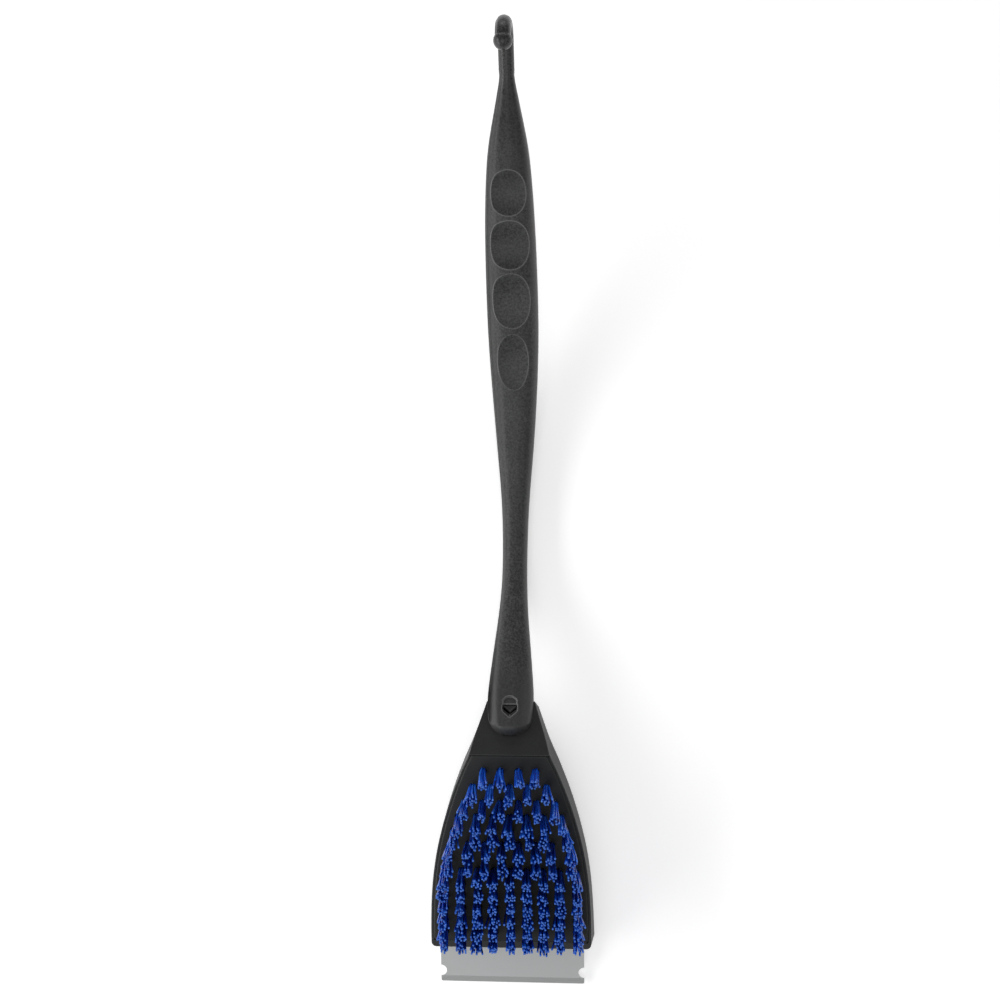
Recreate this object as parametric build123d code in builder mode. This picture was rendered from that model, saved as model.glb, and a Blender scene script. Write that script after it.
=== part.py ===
from build123d import *
from math import cos, sin, radians, pi
import os

# Grill cleaning brush: a long one-piece handle with a hanging hook, and a
# replaceable head with nylon tufts and a steel scraper.
#
# Frame: the brush lies on its back, bristles up.  +Y runs toward the hook,
# +X across, +Z up.  The origin is under the middle of the whole brush, on the
# surface it lies on.  Millimetres throughout.

# ---------------------------------------------------------------- dimensions
REF_Y = -91.615            # reference point on the tongue axis (see below)
REF_Z = 28.652
TONGUE_SLOPE = 18.0      # the handle's straight end climbs toward the head
HEAD_SLOPE = 13.0        # the bristle face falls away toward the scraper

# handle ------------------------------------------------------------------
SECTION_EXPONENT = 2.3   # roundness of the handle's section, 2 is an ellipse
TONGUE_END = 19.1        # from the reference point to the tip of the tongue
TONGUE_END_R = 11.3      # plan radius of the tip
TONGUE_LIP = (4.3, 6.65)    # rounding over the tip: its width and its height
TONGUE_LIP_TOP = 7.15    # height at which the rounding starts
NECK_TOP = 0.50          # height of the neck's top face over the tongue axis
FIT = 0.07               # clearance between shank and socket, each side
HOOK_R = 8.8             # centreline radius of the hook
HOOK_WIRE = 3.85         # radius of the hook's round section
BALL_R = 4.65            # ball at the end of the hook
HOOK_CENTRE = (312.7, 74.1)
HOOK_START, HOOK_SWEEP = 29.0, 167.0

# centreline of the handle, measured from the reference point:
# y, z, slope, half width, half depth above, half depth below, exponent
STATIONS = [
    (304.0, 59.20, 29.0, 3.85, 3.85, 3.85, 2.0),
    (299.6, 56.90, 26.5, 3.95, 3.95, 3.95, 2.0),
    (294.4, 54.60, 22.5, 4.95, 4.80, 4.80, 2.05),
    (286.5, 51.60, 19.8, 6.56, 6.10, 6.10, 2.1),
    (277.5, 48.45, 19.4, 8.40, 7.50, 7.50, 2.2),
    (268.4, 45.15, 20.8, 9.95, 8.65, 8.65, 2.3),
    (259.4, 41.50, 23.0, 10.92, 9.30, 9.30, 2.3),
    (241.6, 33.10, 27.2, 12.07, 10.0, 10.0, 2.3),
    (223.8, 23.30, 29.8, 12.66, 10.3, 10.3, 2.3),
    (205.8, 12.80, 30.0, 12.88, 10.4, 10.4, 2.3),
    (187.4, 2.60, 27.4, 12.76, 10.2, 10.2, 2.3),
    (168.3, -6.40, 22.6, 12.02, 9.80, 9.80, 2.3),
    (148.7, -13.50, 16.2, 10.80, 9.10, 9.10, 2.3),
    (128.5, -18.20, 9.8, 9.28, 8.35, 8.35, 2.3),
    (111.0, -20.45, 5.0, 7.80, 7.75, 7.75, 2.3),
    (95.0, -21.25, 0.8, 6.78, 7.45, 7.40, 2.3),
    (80.0, -21.05, -2.8, 6.36, 7.35, 7.35, 2.3),
    (66.0, -19.90, -8.4, 6.32, 7.35, 7.45, 2.3),
    (51.36, -16.69, -18.0, 6.86, 7.35, 7.65, 2.3),
    (39.94, -12.98, -18.0, 7.78, 7.35, 7.85, 2.3),
    (25.68, -8.34, -18.0, 9.24, 7.30, 8.00, 2.3),
    (11.41, -3.71, -18.0, 10.66, 7.20, 8.00, 2.3),
    (0.0, 0.0, -18.0, 11.44, 7.10, 8.00, 2.3),
    (-8.56, 2.78, -18.0, 11.05, 7.00, 8.00, 2.3),
    (-19.97, 6.49, -18.0, 9.60, 6.90, 8.00, 2.3),
]

# finger recesses along the top of the grip:
# y, z, slope of the handle there, its half depth, depth of the recess,
# radius along the handle, half width
SCOOPS = [
    (250.9, 37.65, 24.6, 9.55, 3.3, 21.6, 8.6),
    (228.3, 25.87, 29.0, 10.2, 3.8, 22.8, 9.7),
    (203.5, 11.46, 30.0, 10.4, 3.4, 31.4, 9.5),
    (173.8, -3.96, 24.8, 10.0, 2.5, 40.0, 7.8),
]

# socket and shank: half width and lower and upper faces, at the mouth and end
SHANK_MOUTH = (5.50, -5.50, 0.50)
SHANK_TIP = (3.40, -4.60, 0.20)
SHANK_LENGTH = 52.0
NECK_START = 0.8         # the neck's end face, along the tongue axis

# window over the release catch: half width, start, shoulder, tip of the vee
WINDOW = (3.42, 4.15, 6.40, 9.00)
THUMB_RECESS = (0.20, 5.95)  # shallow recess above it: start, height of its floor
WINDOW_BEVEL = (3.90, 8.20, 11.8)
CHANNEL_TOP = 2.30       # clearance groove under the tongue for the catch
CHANNEL_W = 6.90

# head --------------------------------------------------------------------
CREASE_S = 28.7          # neck ramp meets the bristle face, along the tongue
HEAD_LENGTH = 99.0
HEAD_THICK = 16.4
RIM_DROP = 1.0           # the shell's rim lies below the bristle face
# half width of the shell at its back, and how much narrower its top edge is
SHELL_PLAN = [
    (-25.0, 11.65, 0.00), (-19.4, 13.55, 0.00), (-14.4, 15.40, 0.05),
    (-9.4, 17.25, 0.20), (-4.2, 19.30, 0.60), (0.9, 21.45, 1.15),
    (6.0, 23.75, 1.10), (11.2, 25.80, 0.95), (16.3, 27.75, 0.80),
    (21.5, 29.55, 0.68), (26.6, 31.22, 0.58), (36.9, 34.15, 0.46),
    (47.2, 36.60, 0.42), (57.5, 38.45, 0.44), (67.9, 39.70, 0.50),
    (78.4, 40.45, 0.62), (88.8, 40.90, 0.85), (99.0, 41.20, 1.25),
]
# half width of the bristle block
BLOCK_PLAN = [
    (0.15, 18.75), (5.3, 21.25), (10.6, 23.60), (16.0, 25.75), (21.3, 27.70),
    (26.6, 29.45), (36.9, 32.50), (47.2, 34.95), (57.5, 36.75), (67.9, 37.95),
    (78.4, 38.55), (88.8, 38.75), (95.8, 38.55),
]
BLOCK_THICK = 8.0
BLOCK_FIT = 0.10
FLOOR = 2.6              # thickness of the shell's back
LEDGE = 1.6              # the block stands on this ledge all round

# tufts -------------------------------------------------------------------
TUFT_LENGTH = 25.0       # standing out of the block
TUFT_HOLE_R = 1.90
TUFT_BASE_R = 1.80
TUFT_TIP_R = 2.75
HOLE_DEPTH = 6.6
ANCHOR = (3.3, 1.9, 0.5) # flat wire staple under each tuft
# distance from the crease, then the half of the row from the middle outward
ROWS = [
    (8.0, [4.4, 13.0]),
    (16.1, [0, 9.1, 18.2]),
    (24.2, [4.5, 13.4, 22.3]),
    (31.4, [0, 8.2, 16.6, 25.5]),
    (38.4, [0, 8.6, 17.2, 27.8]),
    (45.4, [4.1, 12.4, 20.6, 29.7]),
    (52.4, [4.1, 12.4, 20.6, 30.7]),
    (59.0, [0, 8.1, 16.2, 24.2, 32.4]),
    (65.4, [0, 8.1, 16.2, 24.2, 32.8]),
    (71.8, [0, 8.1, 16.2, 24.2, 32.9]),
    (78.1, [0, 8.1, 16.2, 24.2, 32.9]),
    (84.4, [0, 8.1, 16.2, 24.2, 32.9]),
    (90.6, [0, 8.1, 16.2, 24.2, 32.9]),
]

# scraper -----------------------------------------------------------------
BLADE_T = 1.2
BLADE_HALF_W = 36.2
BLADE_START, BLADE_END = 81.0, 120.1
BLADE_BEVEL = 3.3
NOTCH_AT, NOTCH_R = 114.2, 2.9

# screws ------------------------------------------------------------------
SCREW_R = 1.45
SCREW_HEAD_R, SCREW_HEAD_T = 2.8, 2.0
COUNTERBORE_R, COUNTERBORE_DEEP = 3.1, 3.0
SCREW_REACH = 10.0
BLOCK_SCREWS = [(0, 11.0), (16.5, 48.9), (-16.5, 48.9)]
BLADE_SCREWS = [(20.2, 87.5), (-20.2, 87.5)]

# release catch -----------------------------------------------------------
CATCH_PIVOT = (-5.0, -2.0)   # along the tongue, over its axis
CATCH_PIN_R = 0.80
CATCH_HALF_W = 3.15
WELL_HALF_W = 3.35
WELL = (-7.4, 9.4, -4.4)     # start, end, floor

# ------------------------------------------------------------------- planes
A, B = radians(TONGUE_SLOPE), radians(HEAD_SLOPE)
REF = Vector(0, REF_Y, REF_Z)
ALONG = Vector(0, -cos(A), sin(A))       # tongue axis, toward the head
UP = Vector(0, sin(A), cos(A))
DOWN_HEAD = Vector(0, -cos(B), -sin(B))  # down the bristle face
OUT = Vector(0, -sin(B), cos(B))         # out of the bristle face
CREASE = REF + ALONG * CREASE_S + UP * NECK_TOP

# plan planes: local y runs toward the hook; side planes: local x does
TONGUE = Plane(origin=REF, x_dir=(1, 0, 0), z_dir=UP)
TONGUE_SIDE = Plane(origin=REF, x_dir=ALONG * -1, z_dir=(1, 0, 0))
HEAD = Plane(origin=CREASE, x_dir=(1, 0, 0), z_dir=OUT)
HEAD_SIDE = Plane(origin=CREASE, x_dir=DOWN_HEAD * -1, z_dir=(1, 0, 0))


def cross_plane(y, z, slope):
    """Plane across the handle, its local y up and out of the handle's top."""
    t = radians(slope)
    return Plane(origin=(0, REF_Y + y, REF_Z + z), x_dir=(1, 0, 0),
                 z_dir=(0, -cos(t), -sin(t)))


def tongue_cross(s):
    """Plane across the tongue at a distance along it."""
    return Plane(origin=REF + ALONG * s, x_dir=(1, 0, 0), z_dir=ALONG)


def half_section(a, b, n, side):
    """Points of one half of the handle's rounded section, edge to edge."""
    pts = []
    for i in range(9):
        t = pi * i / 8
        c, s = cos(t), sin(t)
        x = a * (1 if c >= 0 else -1) * abs(c) ** (2 / n)
        pts.append((x, side * b * abs(s) ** (2 / n)))
    return pts


def row_points(row):
    h, half = row
    xs = sorted({x for x in half} | {-x for x in half})
    return [(x, -h) for x in xs]


# ------------------------------------------------------------------- handle
with BuildPart() as handle:
    for y, z, slope, a, up, low, n in STATIONS:
        with BuildSketch(cross_plane(y, z, slope)):
            with BuildLine():
                Spline(*half_section(a, up, n, 1), tangents=[(0, 1), (0, -1)])
                Spline(*half_section(a, low, n, -1), tangents=[(0, -1), (0, 1)])
            make_face()
    loft()
    # round end of the tongue, turned about the centre of its plan radius
    pivot = REF + ALONG * (TONGUE_END - TONGUE_END_R)
    lw, lh = TONGUE_LIP
    r0, n0 = TONGUE_END_R - lw, TONGUE_LIP_TOP - lh
    with BuildSketch(Plane(origin=pivot, x_dir=(1, 0, 0),
                           z_dir=Vector(1, 0, 0).cross(UP))):
        with BuildLine():
            Spline(*[(r0 + lw * cos(radians(t)), n0 + lh * sin(radians(t)))
                     for t in range(0, 91, 15)], tangents=[(0, 1), (-1, 0)])
            Polyline((r0, TONGUE_LIP_TOP), (r0, 14), (26, 14), (26, -14),
                     (TONGUE_END_R, -14), (TONGUE_END_R, n0))
        make_face()
    revolve(axis=Axis(pivot, UP * -1), revolution_arc=180, mode=Mode.SUBTRACT)
    # flat seat for the neck under the tongue
    with BuildSketch(TONGUE_SIDE):
        with Locations((-0.5, NECK_TOP + FIT)):
            Rectangle(40, 30, align=(Align.MAX, Align.MAX))
    extrude(amount=30, both=True, mode=Mode.SUBTRACT)
    # tapered socket for the shank
    for s, (w, lo, hi) in ((1.5, SHANK_MOUTH), (-SHANK_LENGTH - 0.6, SHANK_TIP)):
        with BuildSketch(tongue_cross(s)):
            with Locations((0, (lo + hi) / 2)):
                Rectangle(2 * (w + FIT), hi - lo + 2 * FIT)
    loft(ruled=True, mode=Mode.SUBTRACT)
    # groove under the tongue that the catch runs through
    with BuildSketch(TONGUE_SIDE):
        with Locations((3.2, NECK_TOP - 0.2)):
            Rectangle(TONGUE_END + 6, CHANNEL_TOP - NECK_TOP + 0.2,
                      align=(Align.MAX, Align.MIN))
    extrude(amount=CHANNEL_W / 2, both=True, mode=Mode.SUBTRACT)
    # window with a vee at its lower end
    w, s0, s1, s2 = WINDOW
    with BuildSketch(TONGUE.offset(1.0)):
        Polygon((-w, -s0), (-w, -s1), (0, -s2), (w, -s1), (w, -s0), align=None)
    extrude(amount=9, mode=Mode.SUBTRACT)
    # shallow recess for the thumb, leading to it
    t0, floor = THUMB_RECESS
    with BuildSketch(TONGUE.offset(floor)):
        with BuildLine():
            Polyline((-w, -t0 - 1.9), (-w, -s0 - 0.4), (w, -s0 - 0.4), (w, -t0 - 1.9))
            ThreePointArc((w, -t0 - 1.9), (0, -t0), (-w, -t0 - 1.9))
        make_face()
    extrude(amount=4, mode=Mode.SUBTRACT)
    # sloping bevel down into the vee
    bw, b1, b2 = WINDOW_BEVEL
    with BuildSketch(TONGUE.offset(4.9)):
        Polygon((-w, -4.4), (-w, -s1), (0, -s2), (w, -s1), (w, -4.4), align=None)
    with BuildSketch(TONGUE.offset(7.3)):
        Polygon((-bw, -4.4), (-bw, -b1), (0, -b2), (bw, -b1), (bw, -4.4), align=None)
    loft(ruled=True, mode=Mode.SUBTRACT)
    # hook: the stem runs on, curls up and over, and ends in a ball
    y0, z0 = STATIONS[0][0], STATIONS[0][1]
    hc = (REF_Y + HOOK_CENTRE[0], REF_Z + HOOK_CENTRE[1])
    with BuildLine(Plane.YZ) as hook_path:
        bend = CenterArc(hc, HOOK_R, HOOK_START - 90, HOOK_SWEEP)
        Line((REF_Y + y0, REF_Z + z0), bend @ 0)
    with BuildSketch(cross_plane(*STATIONS[0][:3])):
        with BuildLine():
            Spline(*half_section(HOOK_WIRE, HOOK_WIRE, 2, 1), tangents=[(0, 1), (0, -1)])
            Spline(*half_section(HOOK_WIRE, HOOK_WIRE, 2, -1), tangents=[(0, -1), (0, 1)])
        make_face()
    sweep(path=hook_path.line)
    end_a = radians(HOOK_START - 90 + HOOK_SWEEP)
    with Locations((0, hc[0] + HOOK_R * cos(end_a), hc[1] + HOOK_R * sin(end_a))):
        Sphere(BALL_R)
    # finger recesses
    for y, z, slope, up, deep, r, half in SCOOPS:
        at = cross_plane(y, z, slope)
        bulge = 0.7 * (14.0 / half) ** 2
        centre = at.origin + at.y_dir * (up + r - deep)
        across = Plane(origin=centre, x_dir=(1, 0, 0), z_dir=at.z_dir)
        with BuildSketch(across):
            with BuildLine():
                ThreePointArc((-14, -(r - bulge)), (0, -r), (14, -(r - bulge)))
                Polyline((14, -(r - bulge)), (14, 0), (-14, 0), (-14, -(r - bulge)))
            make_face()
        revolve(axis=Axis(centre, (1, 0, 0)), mode=Mode.SUBTRACT)

# --------------------------------------------------------------- head shell
deep = -24.0
with BuildPart() as head_shell:
    for m, k in ((deep, -0.5), (0.0, 1.0)):
        side = [(w - k * f, -h) for h, w, f in SHELL_PLAN]
        with BuildSketch(HEAD.offset(m)) as plan:
            with BuildLine():
                Spline(*side)
                Spline(*[(-x, y) for x, y in side])
                Line(side[0], (-side[0][0], side[0][1]))
                Line(side[-1], (-side[-1][0], side[-1][1]))
            make_face()
            fillet(plan.vertices().group_by(Axis.Y)[0], 2.5)
    loft(ruled=True)
    # side profile: neck ramp, bristle face, end wall, back, underside of neck
    rise = radians(TONGUE_SLOPE + HEAD_SLOPE)
    run = CREASE_S - NECK_START
    top0 = (run * cos(rise), -run * sin(rise))
    neck = 8.5
    low0 = (top0[0] - neck * sin(rise), top0[1] - neck * cos(rise))
    with BuildSketch(HEAD_SIDE) as profile:
        with BuildLine():
            Polyline(top0, (0, 0), (-0.9, -RIM_DROP), (-HEAD_LENGTH, -RIM_DROP),
                     (-HEAD_LENGTH, -HEAD_THICK + 1.2),
                     (-HEAD_LENGTH + 1.2, -HEAD_THICK), (-9, -HEAD_THICK),
                     (6, -HEAD_THICK - 1.2), low0, top0)
        make_face()
    extrude(amount=60, both=True, mode=Mode.INTERSECT)
    # shank, tapered to enter the handle
    for s, (w, lo, hi) in ((NECK_START + 3, SHANK_MOUTH), (-SHANK_LENGTH, SHANK_TIP)):
        with BuildSketch(tongue_cross(s)):
            with Locations((0, (lo + hi) / 2)):
                Rectangle(2 * w, hi - lo)
    loft(ruled=True)
    # pocket for the bristle block
    block_side = [(w + BLOCK_FIT, -h) for h, w in BLOCK_PLAN]
    with BuildSketch(HEAD) as pocket:
        with BuildLine():
            Spline(*block_side)
            Spline(*[(-x, y) for x, y in block_side])
            Line(block_side[0], (-block_side[0][0], block_side[0][1]))
            Line((block_side[-1][0], -95.9), (-block_side[-1][0], -95.9))
            Line(block_side[-1], (block_side[-1][0], -95.9))
            Line((-block_side[-1][0], block_side[-1][1]), (-block_side[-1][0], -95.9))
        make_face()
    extrude(amount=-BLOCK_THICK - 0.02, mode=Mode.SUBTRACT)
    # hollow under the block, with a solid pad left under the blade
    inner = [(w - LEDGE, -h) for h, w in BLOCK_PLAN if 2 < h < 80]
    with BuildSketch(HEAD.offset(-BLOCK_THICK)):
        with BuildLine():
            Spline(*inner)
            Spline(*[(-x, y) for x, y in inner])
            Line(inner[0], (-inner[0][0], inner[0][1]))
            Line(inner[-1], (-inner[-1][0], inner[-1][1]))
        make_face()
    extrude(amount=-(HEAD_THICK - FLOOR - BLOCK_THICK), mode=Mode.SUBTRACT)
    # bosses round the block screws
    with BuildSketch(HEAD.offset(-HEAD_THICK + FLOOR)):
        with Locations(*[(x, -h) for x, h in BLOCK_SCREWS]):
            Circle(4.6)
    extrude(amount=HEAD_THICK - FLOOR - BLOCK_THICK)
    # bed and slot for the scraper
    with BuildSketch(HEAD.offset(-BLOCK_THICK)):
        with Locations((0, -BLADE_START + 0.2)):
            Rectangle(2 * BLADE_HALF_W + 0.2, 40, align=(Align.CENTER, Align.MAX))
    extrude(amount=-BLADE_T - 0.03, mode=Mode.SUBTRACT)
    # screw holes with counterbores in the back
    spots = [(x, -h) for x, h in BLOCK_SCREWS + BLADE_SCREWS]
    with BuildSketch(HEAD.offset(-HEAD_THICK)):
        with Locations(*spots):
            Circle(SCREW_R + 0.1)
    extrude(amount=HEAD_THICK - BLOCK_THICK, mode=Mode.SUBTRACT)
    with BuildSketch(HEAD.offset(-HEAD_THICK)):
        with Locations(*spots):
            Circle(COUNTERBORE_R)
    extrude(amount=COUNTERBORE_DEEP, mode=Mode.SUBTRACT)
    # well for the release catch, and the hole for its pin
    with BuildSketch(TONGUE_SIDE):
        with Locations((-WELL[0], WELL[2])):
            Rectangle(WELL[1] - WELL[0], 12, align=(Align.MAX, Align.MIN))
    extrude(amount=WELL_HALF_W, both=True, mode=Mode.SUBTRACT)
    with BuildSketch(TONGUE_SIDE):
        with Locations((-CATCH_PIVOT[0], CATCH_PIVOT[1])):
            Circle(CATCH_PIN_R + 0.02)
    extrude(amount=8, both=True, mode=Mode.SUBTRACT)

# ------------------------------------------------------------ bristle block
with BuildPart() as bristle_block:
    side = [(w, -h) for h, w in BLOCK_PLAN]
    with BuildSketch(HEAD) as plan:
        with BuildLine():
            Spline(*side)
            Spline(*[(-x, y) for x, y in side])
            Line(side[0], (-side[0][0], side[0][1]))
            Line(side[-1], (-side[-1][0], side[-1][1]))
        make_face()
        fillet(plan.vertices().group_by(Axis.Y)[0], 2.0)
        fillet(plan.vertices().group_by(Axis.Y)[-1], 1.2)
    extrude(amount=-BLOCK_THICK)
    fillet(bristle_block.faces().sort_by(Axis(CREASE, OUT))[-1].edges(), 0.8)
    holes = [p for row in ROWS for p in row_points(row)]
    with BuildSketch(HEAD):
        with Locations(*holes):
            Circle(TUFT_HOLE_R)
    extrude(amount=-HOLE_DEPTH, mode=Mode.SUBTRACT)
    with BuildSketch(HEAD.offset(-BLOCK_THICK)):
        with Locations(*spots):
            Circle(SCREW_R + 0.02)
    extrude(amount=5.2, mode=Mode.SUBTRACT)

# ------------------------------------------------------------------- tufts
# Each tuft is a straight bundle in its hole, spreading to a wider tip.
tuft_rows = []
profile_pts = [(0, -HOLE_DEPTH + 0.55), (TUFT_BASE_R, -HOLE_DEPTH + 0.55),
               (TUFT_BASE_R, 0.6), (2.05, 8.0), (TUFT_TIP_R, TUFT_LENGTH - 0.6),
               (TUFT_TIP_R - 0.6, TUFT_LENGTH), (0, TUFT_LENGTH)]
with BuildPart() as one_tuft:
    with BuildSketch(Plane.XZ):
        with BuildLine():
            Polyline(*profile_pts, profile_pts[0])
        make_face()
    revolve(axis=Axis.Z)
for number, row in enumerate(ROWS, 1):
    with BuildPart() as tuft_row:
        for x, y in row_points(row):
            spot = HEAD.from_local_coords(Vector(x, y, 0))
            add(Plane(origin=spot, x_dir=(1, 0, 0), z_dir=OUT).location
                * one_tuft.part)
    tuft_row.part.label = "tuft_row_%02d" % number
    tuft_rows.append(tuft_row.part)

# flat wire staples that hold the tufts at the bottom of their holes
with BuildPart() as tuft_anchors:
    with BuildSketch(HEAD.offset(-HOLE_DEPTH + 0.02)):
        with Locations(*holes):
            Rectangle(ANCHOR[0], ANCHOR[1])
    extrude(amount=ANCHOR[2])

# ----------------------------------------------------------------- scraper
with BuildPart() as scraper_blade:
    with BuildSketch(HEAD.offset(-BLOCK_THICK)) as sheet:
        with Locations((0, -(BLADE_START + BLADE_END) / 2)):
            Rectangle(2 * BLADE_HALF_W, BLADE_END - BLADE_START)
        fillet(sheet.vertices().group_by(Axis.Y)[-1], 3.0)
        fillet(sheet.vertices().group_by(Axis.Y)[0], 0.8)
        with Locations((BLADE_HALF_W, -NOTCH_AT), (-BLADE_HALF_W, -NOTCH_AT)):
            Circle(NOTCH_R, mode=Mode.SUBTRACT)
        with Locations(*[(x, -h) for x, h in BLADE_SCREWS]):
            Circle(1.8, mode=Mode.SUBTRACT)
    extrude(amount=-BLADE_T)
    # ground edge
    with BuildSketch(HEAD_SIDE):
        Polygon((-BLADE_END + BLADE_BEVEL, -BLOCK_THICK),
                (-BLADE_END - 1, -BLOCK_THICK),
                (-BLADE_END - 1, -BLOCK_THICK - BLADE_T * 0.9 - 0.33),
                (-BLADE_END, -BLOCK_THICK - BLADE_T * 0.9), align=None)
    extrude(amount=50, both=True, mode=Mode.SUBTRACT)

# ------------------------------------------------------------------ screws
seat = -HEAD_THICK + COUNTERBORE_DEEP


# pan heads with a cross recess, seated in the counterbores
screw_sets = []
for label, places in (("block_screws", BLOCK_SCREWS), ("scraper_screws", BLADE_SCREWS)):
    at = [(x, -h) for x, h in places]
    with BuildPart() as screws:
        with BuildSketch(HEAD.offset(seat)):
            with Locations(*at):
                Circle(SCREW_HEAD_R)
        extrude(amount=-SCREW_HEAD_T)
        rims = screws.faces().group_by(Axis(CREASE, OUT))[0].edges()
        fillet(rims, 0.7)
        with BuildSketch(HEAD.offset(seat)):
            with Locations(*at):
                Circle(SCREW_R)
        extrude(amount=SCREW_REACH)
        with BuildSketch(HEAD.offset(seat - SCREW_HEAD_T)):
            with Locations(*at):
                Rectangle(3.2, 0.8)
                Rectangle(0.8, 3.2)
        extrude(amount=1.1, mode=Mode.SUBTRACT)
    screws.part.label = label
    screw_sets.append(screws.part)

# ----------------------------------------------------------- release catch
ps, pn = CATCH_PIVOT
with BuildPart() as release_catch:
    # spring arm, ramping up behind the nose
    with BuildSketch(TONGUE_SIDE):
        Polygon((-ps + 0.2, pn - 1.5), (-ps + 0.2, 0.3), (-0.6, 0.3), (-4.2, 2.1),
                (-7.4, 2.1), (-7.4, -1.4), (-4.0, -1.4), (-ps - 2.0, pn - 1.2),
                align=None)
        with Locations((-ps, pn)):
            Circle(1.75)
    extrude(amount=CATCH_HALF_W, both=True)
    # vee-shaped nose in the window
    with BuildSketch(TONGUE.offset(-1.4)):
        Polygon((-CATCH_HALF_W, -4.35), (CATCH_HALF_W, -4.35),
                (CATCH_HALF_W, -4.9), (0, -7.7), (-CATCH_HALF_W, -4.9), align=None)
    extrude(amount=5.7)
    with BuildSketch(TONGUE.offset(-3.0)):
        Polygon((-5, -9), (5, -9), (5, -4.9 - 1.65), (CATCH_HALF_W, -4.9), (0, -7.7),
                (-CATCH_HALF_W, -4.9), (-5, -4.9 - 1.65), align=None)
    extrude(amount=9, mode=Mode.SUBTRACT)
    crown = release_catch.faces().sort_by(Axis(REF, UP))[-1]
    chamfer(crown.edges().sort_by(Axis(REF, ALONG))[-2:], 0.45)
    with BuildSketch(TONGUE_SIDE):
        with Locations((-ps, pn)):
            Circle(CATCH_PIN_R + 0.05)
    extrude(amount=6, both=True, mode=Mode.SUBTRACT)

with BuildPart() as catch_pin:
    with BuildSketch(TONGUE_SIDE):
        with Locations((-ps, pn)):
            Circle(CATCH_PIN_R)
    extrude(amount=5.1, both=True)
    chamfer(catch_pin.edges().filter_by(GeomType.CIRCLE), 0.2)

# ------------------------------------------------------------------ export
os.makedirs("parts", exist_ok=True)
handle.part.label = "handle"
export_step(handle.part, "parts/handle.step")
head_shell.part.label = "head_shell"
export_step(head_shell.part, "parts/head_shell.step")
bristle_block.part.label = "bristle_block"
export_step(bristle_block.part, "parts/bristle_block.step")
for part in tuft_rows:
    export_step(part, "parts/%s.step" % part.label)
tuft_anchors.part.label = "tuft_anchors"
export_step(tuft_anchors.part, "parts/tuft_anchors.step")
scraper_blade.part.label = "scraper_blade"
export_step(scraper_blade.part, "parts/scraper_blade.step")
for part in screw_sets:
    export_step(part, "parts/%s.step" % part.label)
release_catch.part.label = "release_catch"
export_step(release_catch.part, "parts/release_catch.step")
catch_pin.part.label = "catch_pin"
export_step(catch_pin.part, "parts/catch_pin.step")
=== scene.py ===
import math
import random

import bpy
import numpy as np
from mathutils import Matrix, Vector


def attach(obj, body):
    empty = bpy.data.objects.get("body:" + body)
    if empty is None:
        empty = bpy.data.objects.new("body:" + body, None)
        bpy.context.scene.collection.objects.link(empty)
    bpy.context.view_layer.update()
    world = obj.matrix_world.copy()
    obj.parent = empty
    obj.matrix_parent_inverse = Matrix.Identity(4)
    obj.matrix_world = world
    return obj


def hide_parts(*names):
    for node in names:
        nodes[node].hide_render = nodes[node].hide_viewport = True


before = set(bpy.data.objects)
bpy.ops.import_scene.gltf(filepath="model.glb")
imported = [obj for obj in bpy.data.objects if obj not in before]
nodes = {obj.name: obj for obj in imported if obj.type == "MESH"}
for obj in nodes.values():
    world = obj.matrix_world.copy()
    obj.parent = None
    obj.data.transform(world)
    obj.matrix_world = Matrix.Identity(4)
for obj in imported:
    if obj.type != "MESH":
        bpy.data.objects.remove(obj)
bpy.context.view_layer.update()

# ------------------------------------------------------------ shared geometry
# The same reference frames as the CAD, in metres.
MM = 0.001
REF = Vector((0, -91.615, 28.652)) * MM
TONGUE = math.radians(18.0)
HEAD = math.radians(13.0)
ALONG = Vector((0, -math.cos(TONGUE), math.sin(TONGUE)))
UP = Vector((0, math.sin(TONGUE), math.cos(TONGUE)))
UPHEAD = Vector((0, math.cos(HEAD), math.sin(HEAD)))      # up the bristle face
OUT = Vector((0, -math.sin(HEAD), math.cos(HEAD)))        # out of it
CREASE = REF + ALONG * (28.7 * MM) + UP * (0.5 * MM)


# ------------------------------------------------------------------ materials
def new_material(name):
    m = bpy.data.materials.new(name)
    m.use_nodes = True
    t = m.node_tree
    bsdf = t.nodes["Principled BSDF"]
    return m, t, bsdf


def link(t, a, b):
    t.links.new(a, b)


def object_coords(t, scale=(1, 1, 1)):
    tc = t.nodes.new("ShaderNodeTexCoord")
    mp = t.nodes.new("ShaderNodeMapping")
    mp.inputs["Scale"].default_value = scale
    link(t, tc.outputs["Object"], mp.inputs["Vector"])
    return mp.outputs["Vector"]


def noise(t, vec, scale, detail=3.0, rough=0.55):
    n = t.nodes.new("ShaderNodeTexNoise")
    n.inputs["Scale"].default_value = scale
    n.inputs["Detail"].default_value = detail
    n.inputs["Roughness"].default_value = rough
    link(t, vec, n.inputs["Vector"])
    return n.outputs["Fac"]


def ramp(t, fac, stops):
    r = t.nodes.new("ShaderNodeValToRGB")
    while len(r.color_ramp.elements) < len(stops):
        r.color_ramp.elements.new(0.5)
    for e, (p, c) in zip(r.color_ramp.elements, stops):
        e.position = p
        e.color = (*c, 1) if len(c) == 3 else c
    link(t, fac, r.inputs["Fac"])
    return r.outputs["Color"]


def to_range(t, fac, lo, hi, f0=0.0, f1=1.0):
    m = t.nodes.new("ShaderNodeMapRange")
    m.inputs["From Min"].default_value = f0
    m.inputs["From Max"].default_value = f1
    m.inputs["To Min"].default_value = lo
    m.inputs["To Max"].default_value = hi
    link(t, fac, m.inputs["Value"])
    return m.outputs["Result"]


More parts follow.
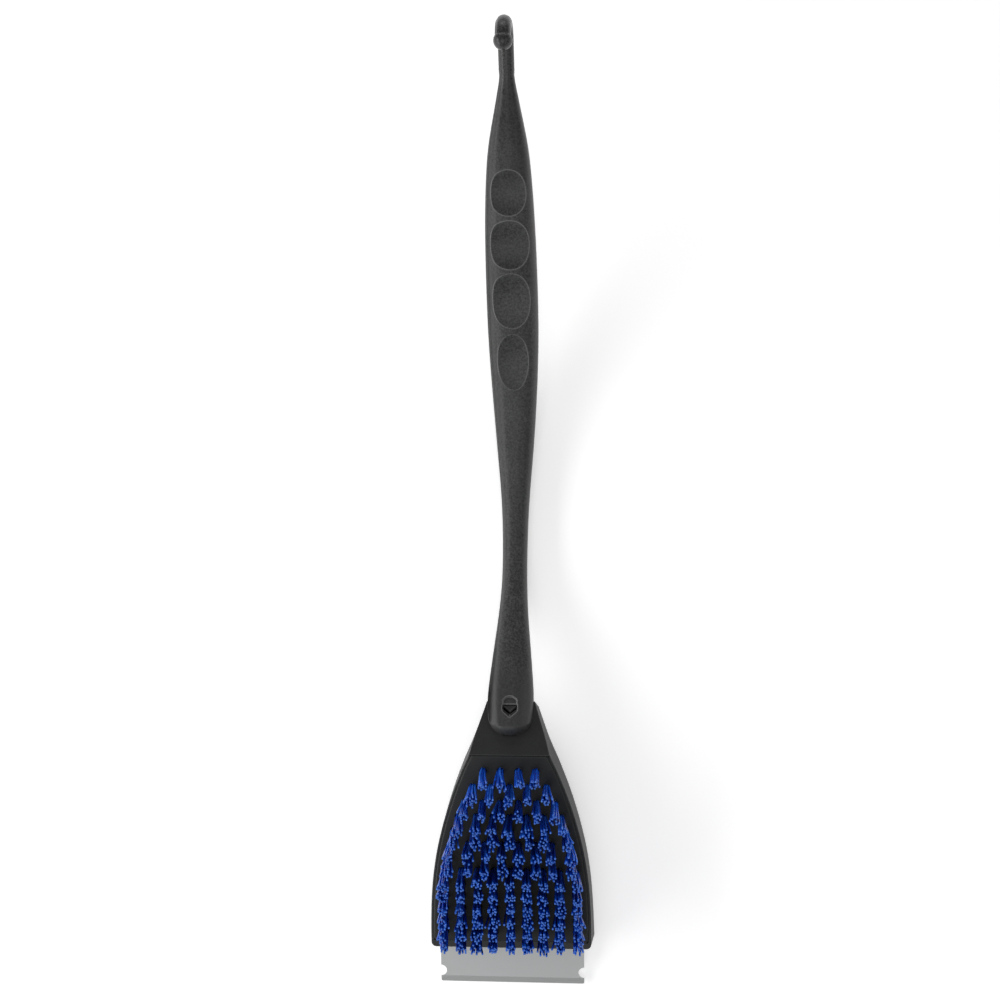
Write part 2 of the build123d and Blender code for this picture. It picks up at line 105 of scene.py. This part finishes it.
def bump(t, bsdf, layers):
    """Chain of bump layers: (height socket, distance in metres, strength)."""
    prev = None
    for height, dist, strength in layers:
        b = t.nodes.new("ShaderNodeBump")
        b.inputs["Strength"].default_value = strength
        b.inputs["Distance"].default_value = dist
        link(t, height, b.inputs["Height"])
        if prev is not None:
            link(t, prev, b.inputs["Normal"])
        prev = b.outputs["Normal"]
    link(t, prev, bsdf.inputs["Normal"])


def mix_color(t, fac, a, b, mode="MIX"):
    m = t.nodes.new("ShaderNodeMix")
    m.data_type = "RGBA"
    m.blend_type = mode
    for name, v in (("Factor", fac), ("A", a), ("B", b)):
        sock = [s for s in m.inputs if s.name == name and
                (s.type == "RGBA" if name != "Factor" else s.type == "VALUE")][0]
        if isinstance(v, (int, float)):
            sock.default_value = v
        elif isinstance(v, tuple):
            sock.default_value = (*v, 1)
        else:
            link(t, v, sock)
    return [s for s in m.outputs if s.type == "RGBA"][0]


def edge_mask(t, radius, lo=0.003, hi=0.035):
    """1 within a small radius of a sharp edge, 0 on open surfaces."""
    bev = t.nodes.new("ShaderNodeBevel")
    bev.samples = 6
    bev.inputs["Radius"].default_value = radius
    geo = t.nodes.new("ShaderNodeNewGeometry")
    dot = t.nodes.new("ShaderNodeVectorMath")
    dot.operation = "DOT_PRODUCT"
    link(t, bev.outputs["Normal"], dot.inputs[0])
    link(t, geo.outputs["Normal"], dot.inputs[1])
    return to_range(t, dot.outputs["Value"], 1.0, 0.0, 1.0 - hi, 1.0 - lo), bev.outputs["Normal"]


def moulded_plastic(name, dark, light, grain=1150.0, speck=0.30, walls=None, depth=0.00010,
                    rough=(0.42, 0.58), edge=None, edge_radius=0.00045, edge_mix=0.6,
                    mottle=60.0, spec=0.5, extra=None, smooth_tip=None):
    """Moulded plastic: spark-eroded grain, faint flow mottling and paler edges, a painted highlight where the edges
    would catch the light.
    """
    m, t, bsdf = new_material(name)
    vec = object_coords(t)
    big = noise(t, vec, mottle, 3.0)
    coarse = noise(t, vec, grain, 2.0, 0.7)
    fine = noise(t, vec, grain * 2.3, 2.0, 0.6)
    col = ramp(t, big, [(0.30, dark), (0.70, light)])
    lo, hi = 1.0 - speck, 1.0 + speck * 1.5
    col = mix_color(t, 1.0, col, ramp(t, coarse, [(0.36, (lo, lo, lo)), (0.66, (hi, hi, hi))]), "MULTIPLY")
    col = mix_color(t, 1.0, col, ramp(t, fine, [(0.40, (0.85, 0.85, 0.85)), (0.64, (1.22, 1.22, 1.22))]), "MULTIPLY")
    rgh = to_range(t, coarse, rough[0], rough[1], 0.32, 0.68)
    if extra is not None:
        col, rgh = extra(t, col, rgh)
    # edge: colour of a painted highlight laid along sharp edges and rims, where they would catch the light
    if edge is not None:
        mask, soft = edge_mask(t, edge_radius)
        mm = t.nodes.new("ShaderNodeMath")
        mm.operation = "MULTIPLY"
        mm.inputs[1].default_value = edge_mix
        link(t, mask, mm.inputs[0])
        if smooth_tip is not None:
            # the tongue's domed end is rounded, so it gets no painted edge highlight
            centre, r0, r1, y_end = smooth_tip
            tc = t.nodes.new("ShaderNodeTexCoord")
            far = t.nodes.new("ShaderNodeVectorMath")
            far.operation = "DISTANCE"
            far.inputs[1].default_value = centre
            link(t, tc.outputs["Object"], far.inputs[0])
            sep = t.nodes.new("ShaderNodeSeparateXYZ")
            link(t, tc.outputs["Object"], sep.inputs[0])
            keep = t.nodes.new("ShaderNodeMath")
            keep.operation = "MAXIMUM"
            link(t, to_range(t, far.outputs["Value"], 1.0, 0.0, r0, r1), keep.inputs[0])
            link(t, to_range(t, sep.outputs["Y"], 0.0, 1.0, y_end, y_end + 0.004), keep.inputs[1])
            link(t, keep.outputs[0], mm.inputs[1])
            m2 = t.nodes.new("ShaderNodeMath")
            m2.operation = "MULTIPLY"
            m2.inputs[1].default_value = edge_mix
            link(t, mm.outputs[0], m2.inputs[0])
            mm = m2
        col = mix_color(t, mm.outputs[0], col, edge)
    link(t, col, bsdf.inputs["Base Color"])
    link(t, rgh, bsdf.inputs["Roughness"])
    bsdf.inputs["Specular IOR Level"].default_value = spec
    if walls is not None:
        # the side walls are duller than the faces (lower specular level)
        g = t.nodes.new("ShaderNodeNewGeometry")
        sep = t.nodes.new("ShaderNodeSeparateXYZ")
        link(t, g.outputs["Normal"], sep.inputs[0])
        ab = t.nodes.new("ShaderNodeMath")
        ab.operation = "ABSOLUTE"
        link(t, sep.outputs["Z"], ab.inputs[0])
        link(t, to_range(t, ab.outputs[0], walls, spec, 0.25, 0.75), bsdf.inputs["Specular IOR Level"])
    bump(t, bsdf, [(coarse, depth, 0.7), (fine, depth * 0.5, 0.6)])
    if edge is not None:
        first = [n for n in t.nodes if n.type == "BUMP" and not n.inputs["Normal"].is_linked][0]
        link(t, soft, first.inputs["Normal"])
    return m


def steel(name, base, rough=(0.24, 0.40), along=(1.0, 60.0, 60.0), scale=900.0, metal=1.0):
    """Brushed steel: fine scratches drawn out along one direction."""
    m, t, bsdf = new_material(name)
    vec = object_coords(t, along)
    lines = noise(t, vec, scale, 4.0, 0.65)
    cloud = noise(t, object_coords(t), 45.0, 2.0)
    lo = tuple(c * 0.88 for c in base)
    col = ramp(t, lines, [(0.25, lo), (0.75, base)])
    col = mix_color(t, to_range(t, cloud, 0.0, 0.18, 0.3, 0.7), col, tuple(min(1, c * 1.12) for c in base))
    link(t, col, bsdf.inputs["Base Color"])
    bsdf.inputs["Metallic"].default_value = metal
    link(t, to_range(t, lines, rough[0], rough[1], 0.25, 0.75), bsdf.inputs["Roughness"])
    bump(t, bsdf, [(lines, 0.00001, 0.5)])
    return m


def nylon(name, deep, pale, rough=0.32):
    """Extruded nylon filament: slightly translucent, streaked along its length."""
    m, t, bsdf = new_material(name)
    vec = object_coords(t, (1.0, 1.0, 0.12))
    a = noise(t, vec, 1500.0, 2.0)
    b = noise(t, object_coords(t), 120.0, 2.0)
    col = ramp(t, a, [(0.36, deep), (0.66, pale)])
    col = mix_color(t, to_range(t, b, 0.0, 0.35, 0.35, 0.7), col, tuple(c * 0.6 for c in deep))
    link(t, col, bsdf.inputs["Base Color"])
    bsdf.inputs["Roughness"].default_value = rough
    bsdf.inputs["Specular IOR Level"].default_value = 0.32
    bump(t, bsdf, [(a, 0.00002, 0.4)])
    return m


# height of the mould's parting line along the handle: y and z in metres
PARTING = [(-0.1115, 0.0348), (-0.0916, 0.0284), (-0.0517, 0.0155), (-0.0256, 0.0085),
           (0.0034, 0.0072), (0.0369, 0.0102), (0.0571, 0.0150), (0.0767, 0.0221),
           (0.0958, 0.0311), (0.1142, 0.0413), (0.1322, 0.0518), (0.1500, 0.0616),
           (0.1678, 0.0700), (0.1859, 0.0770), (0.2028, 0.0831), (0.2124, 0.0877)]


def handle_finish(t, col, rgh):
    """Parting line along both sides, a smoother, darker hook, and a painted highlight along the tongue's shoulders.
    """
    tc = t.nodes.new("ShaderNodeTexCoord")
    xyz = t.nodes.new("ShaderNodeSeparateXYZ")
    link(t, tc.outputs["Object"], xyz.inputs[0])
    y0, y1 = PARTING[0][0], PARTING[-1][0]
    z1 = 0.1
    curve = t.nodes.new("ShaderNodeFloatCurve")
    c = curve.mapping.curves[0]
    while len(c.points) < len(PARTING):
        c.points.new(0.5, 0.5)
    for pt, (y, z) in zip(c.points, PARTING):
        pt.location = ((y - y0) / (y1 - y0), z / z1)
    curve.mapping.update()
    link(t, to_range(t, xyz.outputs["Y"], 0.0, 1.0, y0, y1), curve.inputs["Value"])
    off = t.nodes.new("ShaderNodeMath")
    off.operation = "MULTIPLY_ADD"
    off.inputs[1].default_value = -z1
    link(t, curve.outputs["Value"], off.inputs[0])
    link(t, xyz.outputs["Z"], off.inputs[2])
    dist = t.nodes.new("ShaderNodeMath")
    dist.operation = "ABSOLUTE"
    link(t, off.outputs[0], dist.inputs[0])
    near = to_range(t, dist.outputs[0], 0.75, 0.0, 0.00022, 0.00050)
    ends = t.nodes.new("ShaderNodeMath")
    ends.operation = "MULTIPLY"
    link(t, to_range(t, xyz.outputs["Y"], 0.0, 1.0, 0.070, 0.095), ends.inputs[0])
    link(t, to_range(t, xyz.outputs["Y"], 1.0, 0.0, 0.180, 0.190), ends.inputs[1])
    both = t.nodes.new("ShaderNodeMath")
    both.operation = "MULTIPLY"
    link(t, near, both.inputs[0])
    link(t, ends.outputs[0], both.inputs[1])
    seam = both.outputs[0]
    col = mix_color(t, seam, col, (0.006, 0.0062, 0.006))
    up = to_range(t, xyz.outputs["Y"], 0.0, 0.45, 0.150, 0.206)
    col = mix_color(t, up, col, (0.014, 0.0145, 0.014))
    # the tongue is smoother than the grip; the pale band along its shoulders is a painted highlight where the
    # rounded shoulders would catch the light
    tip = to_range(t, xyz.outputs["Y"], 0.65, 0.0, -0.088, -0.066)
    col = mix_color(t, tip, col, (0.027, 0.0275, 0.0272))
    off_x = t.nodes.new("ShaderNodeMath")
    off_x.operation = "ABSOLUTE"
    link(t, xyz.outputs["X"], off_x.inputs[0])
    shoulder_highlight = t.nodes.new("ShaderNodeMath")
    shoulder_highlight.operation = "MULTIPLY"
    link(t, to_range(t, off_x.outputs[0], 0.0, 0.75, 0.0052, 0.0080), shoulder_highlight.inputs[0])
    link(t, tip, shoulder_highlight.inputs[1])
    col = mix_color(t, shoulder_highlight.outputs[0], col, (0.060, 0.0607, 0.060))
    gloss = t.nodes.new("ShaderNodeMath")
    gloss.operation = "MULTIPLY"
    link(t, rgh, gloss.inputs[0])
    link(t, to_range(t, xyz.outputs["Y"], 1.0, 0.62, 0.170, 0.215), gloss.inputs[1])
    return col, gloss.outputs[0]


# edge=: colour of the painted highlight along each part's sharp edges and rims
HANDLE_MAT = moulded_plastic("handle_charcoal", (0.021, 0.0215, 0.0212), (0.030, 0.0307, 0.0302),
                             grain=1000.0, speck=0.62, depth=0.00018,
                             smooth_tip=((0.0, -0.0955, 0.0365), 0.0074, 0.0084, -0.088), rough=(0.38, 0.56),
                             edge=(0.19, 0.192, 0.19), edge_radius=0.0009, edge_mix=0.9,
                             extra=handle_finish)
SHELL_MAT = moulded_plastic("head_shell_plastic", (0.0138, 0.0142, 0.0139), (0.0182, 0.0187, 0.0184),
                            grain=1900.0, speck=0.14, depth=0.00003, rough=(0.38, 0.48),
                            edge=(0.075, 0.076, 0.075), edge_radius=0.0006, edge_mix=0.7, spec=0.4,
                            walls=0.12)
BLOCK_MAT = moulded_plastic("bristle_block_plastic", (0.0085, 0.0089, 0.0087),
                            (0.0125, 0.0130, 0.0127), grain=1900.0, speck=0.14, depth=0.00003,
                            rough=(0.38, 0.50), edge=(0.13, 0.132, 0.13), edge_radius=0.0006,
                            edge_mix=0.6, spec=0.3)
CATCH_MAT = moulded_plastic("catch_plastic", (0.030, 0.0306, 0.030), (0.040, 0.041, 0.040),
                            grain=1500.0, speck=0.20, depth=0.00004, rough=(0.34, 0.46),
                            edge=(0.16, 0.162, 0.16), edge_radius=0.0004, edge_mix=0.8)
BLADE_MAT = steel("blade_steel", (0.525, 0.535, 0.532), rough=(0.40, 0.55),
                  along=(1.0, 45.0, 45.0), scale=700.0, metal=0.6)
SCREW_MAT = steel("screw_zinc", (0.60, 0.605, 0.59), rough=(0.28, 0.42),
                  along=(30.0, 1.0, 30.0), scale=900.0)
WIRE_MAT = steel("anchor_wire", (0.30, 0.30, 0.29), rough=(0.25, 0.4),
                 along=(1.0, 40.0, 40.0), scale=900.0)
# three neighbouring blues, so that single filaments read as streaks in a tuft
NYLON_MATS = [
    nylon("nylon_blue_deep", (0.0004, 0.021, 0.24), (0.0016, 0.055, 0.46), rough=0.27),
    nylon("nylon_blue", (0.0010, 0.048, 0.44), (0.0060, 0.115, 0.72), rough=0.27),
    nylon("nylon_blue_pale", (0.0080, 0.105, 0.62), (0.0400, 0.210, 0.88), rough=0.27),
]
# paler cut tips: partly the frosted cut ends of the nylon, partly a painted highlight
TIP_MAT = nylon("nylon_cut_tip", (0.010, 0.09, 0.50), (0.105, 0.265, 0.80), rough=0.42)

FINISH = {
    "handle": HANDLE_MAT, "head_shell": SHELL_MAT, "bristle_block": BLOCK_MAT,
    "release_catch": CATCH_MAT, "scraper_blade": BLADE_MAT, "block_screws": SCREW_MAT,
    "scraper_screws": SCREW_MAT, "catch_pin": SCREW_MAT, "tuft_anchors": WIRE_MAT,
}
for name, mat in FINISH.items():
    o = nodes[name]
    if not o.material_slots:
        o.data.materials.append(mat)
    for s in o.material_slots:
        s.material = mat

# ---------------------------------------------------------------------- tufts
ROWS = [
    (8.0, [4.4, 13.0]), (16.1, [0, 9.1, 18.2]), (24.2, [4.5, 13.4, 22.3]),
    (31.4, [0, 8.2, 16.6, 25.5]), (38.4, [0, 8.6, 17.2, 27.8]),
    (45.4, [4.1, 12.4, 20.6, 29.7]), (52.4, [4.1, 12.4, 20.6, 30.7]),
    (59.0, [0, 8.1, 16.2, 24.2, 32.4]), (65.4, [0, 8.1, 16.2, 24.2, 32.8]),
    (71.8, [0, 8.1, 16.2, 24.2, 32.9]), (78.1, [0, 8.1, 16.2, 24.2, 32.9]),
    (84.4, [0, 8.1, 16.2, 24.2, 32.9]), (90.6, [0, 8.1, 16.2, 24.2, 32.9]),
]
TUFT_LENGTH = 25.0
FILAMENTS = 15
FIL_R = 0.52
SET = 1.7          # the whole field has taken a slight set across the head
SIDES = 6
Z_STOPS = [-0.8, 3.0, 8.0, 13.0, 18.0, 22.5]


def tuft(rng, x, h, verts, faces, mats):
    """One bundle of crimp-straight filaments that spreads to a ragged tip."""
    lean_x = SET + rng.gauss(0, 0.40)
    lean_y = rng.gauss(-0.25, 0.45)
    spread = rng.uniform(1.25, 2.05)
    twist = rng.uniform(0, 2 * math.pi)
    origin = CREASE + Vector((x, 0, 0)) * MM - UPHEAD * (h * MM)
    for k in range(FILAMENTS):
        r = 1.52 * math.sqrt((k + 0.5) / FILAMENTS)
        a = twist + k * 2.399963
        bx, by = r * math.cos(a), r * math.sin(a)
        f = spread + rng.gauss(0, 0.14)
        tx = bx * f + lean_x + rng.gauss(0, 0.42)
        ty = by * f + lean_y + rng.gauss(0, 0.42)
        if rng.random() < 0.07:
            tx += rng.gauss(0, 0.9)
            ty += rng.gauss(0, 0.9)
        length = TUFT_LENGTH + rng.gauss(-0.7, 0.6)
        length = min(length, TUFT_LENGTH)
        bow_x, bow_y = rng.gauss(0, 0.22), rng.gauss(0, 0.22)
        stops = Z_STOPS + [length - 0.12, length]
        shade = rng.choices((0, 1, 2), (0.32, 0.40, 0.28))[0]
        base = len(verts)
        for j, z in enumerate(stops):
            u = max(z, 0) / length
            w = u ** 1.2
            b = math.sin(math.pi * u)
            px = bx + (tx - bx) * w + bow_x * b
            py = by + (ty - by) * w + bow_y * b
            rad = FIL_R * (0.72 if j == len(stops) - 1 else 1.0)
            for i in range(SIDES):
                t = 2 * math.pi * i / SIDES + k
                p = (origin + Vector((1, 0, 0)) * ((px + rad * math.cos(t)) * MM)
                     + UPHEAD * ((py + rad * math.sin(t)) * MM) + OUT * (z * MM))
                verts.append(p[:])
        for j in range(len(stops) - 1):
            for i in range(SIDES):
                n = (i + 1) % SIDES
                faces.append((base + j * SIDES + i, base + j * SIDES + n,
                              base + (j + 1) * SIDES + n, base + (j + 1) * SIDES + i))
                # index 3 is the paler cut-tip material: frosted ends plus a painted highlight
                mats.append(3 if j == len(stops) - 2 else shade)
        top = base + (len(stops) - 1) * SIDES
        faces.append(tuple(top + i for i in range(SIDES)))
        mats.append(3)
        faces.append(tuple(base + i for i in reversed(range(SIDES))))
        mats.append(shade)


def build_tufts():
    for n, (h, half) in enumerate(ROWS, 1):
        rng = random.Random(4100 + n)
        verts, faces, mats = [], [], []
        for x in sorted({x for x in half} | {-x for x in half}):
            tuft(rng, x, h, verts, faces, mats)
        me = bpy.data.meshes.new("tuft_row_%02d_filaments" % n)
        me.from_pydata(verts, [], faces)
        for m in NYLON_MATS:
            me.materials.append(m)
        me.materials.append(TIP_MAT)
        me.polygons.foreach_set("material_index", mats)
        me.polygons.foreach_set("use_smooth", [len(f) == 4 for f in faces])
        me.update()
        ob = bpy.data.objects.new("tuft_row_%02d_filaments" % n, me)
        bpy.context.scene.collection.objects.link(ob)
        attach(ob, "head")
        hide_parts("tuft_row_%02d" % n)


build_tufts()

# ------------------------------------------------------- floor, light, camera
def area(name, loc, target, size, size_y, power, color=(1, 1, 1)):
    d = bpy.data.lights.new(name, "AREA")
    d.shape = "RECTANGLE"
    d.size, d.size_y = size, size_y
    d.energy = power
    d.color = color
    o = bpy.data.objects.new(name, d)
    bpy.context.scene.collection.objects.link(o)
    loc, target = Vector(loc), Vector(target)
    z = (loc - target).normalized()
    y = Vector((0, 1, 0))
    y = (y - z * y.dot(z)).normalized()
    x = y.cross(z)
    o.matrix_world = Matrix((x, y, z)).transposed().to_4x4()
    o.location = loc
    return o


floor_me = bpy.data.meshes.new("floor")
S = 6.0
floor_me.from_pydata([(-S, -S, 0), (S, -S, 0), (S, S, 0), (-S, S, 0)], [], [(0, 1, 2, 3)])
floor = bpy.data.objects.new("floor", floor_me)
bpy.context.scene.collection.objects.link(floor)
fm, ft, fb = new_material("floor_paper")
fcol = ramp(ft, noise(ft, object_coords(ft), 6.0, 2.0), [(0.3, (0.90, 0.90, 0.90)), (0.7, (0.93, 0.93, 0.93))])
link(ft, fcol, fb.inputs["Base Color"])
fb.inputs["Roughness"].default_value = 0.9
fb.inputs["Emission Color"].default_value = (1, 1, 1, 1)
fb.inputs["Emission Strength"].default_value = 0.42
floor_me.materials.append(fm)

area("softbox_left", (-0.66, -0.16, 0.40), (0, -0.02, 0.02), 0.26, 1.2, 4.4)
area("softbox_right", (0.54, -0.16, 0.56), (0, -0.02, 0.02), 0.20, 1.2, 0.8)
area("back_low", (0.0, 1.05, 0.42), (0, -0.12, 0.03), 1.0, 0.25, 2.4)
area("front_card", (-0.05, -0.44, 1.20), (0, 0.0, 0.02), 0.70, 1.15, 3.5)

world = bpy.data.worlds.new("studio")
bpy.context.scene.world = world
world.use_nodes = True
bg = world.node_tree.nodes["Background"]
bg.inputs["Color"].default_value = (1.0, 1.0, 1.0, 1)
bg.inputs["Strength"].default_value = 0.22

bpy.context.scene.view_settings.view_transform = "Standard"
bpy.context.scene.view_settings.look = "None"

PITCH, ROLL = math.radians(6.0), math.radians(4.8)
LONG = Vector((0, math.cos(PITCH), math.sin(PITCH)))
NEAR = Vector((0, -math.sin(PITCH), math.cos(PITCH)))
AIM = REF + LONG * 0.100
DIST = 0.900
view = NEAR * math.cos(ROLL) + Vector((1, 0, 0)) * math.sin(ROLL)
right = Vector((1, 0, 0)) * math.cos(ROLL) - NEAR * math.sin(ROLL)
cam_data = bpy.data.cameras.new("camera")
cam_data.sensor_width = 36.0
cam_data.lens = 36.0 * 0.900 / 0.500
cam_data.clip_start, cam_data.clip_end = 0.01, 20.0
cam = bpy.data.objects.new("camera", cam_data)
bpy.context.scene.collection.objects.link(cam)
cam.matrix_world = Matrix((right, LONG, view)).transposed().to_4x4()
cam.location = AIM + view * DIST - right * 0.0055
bpy.context.scene.camera = cam
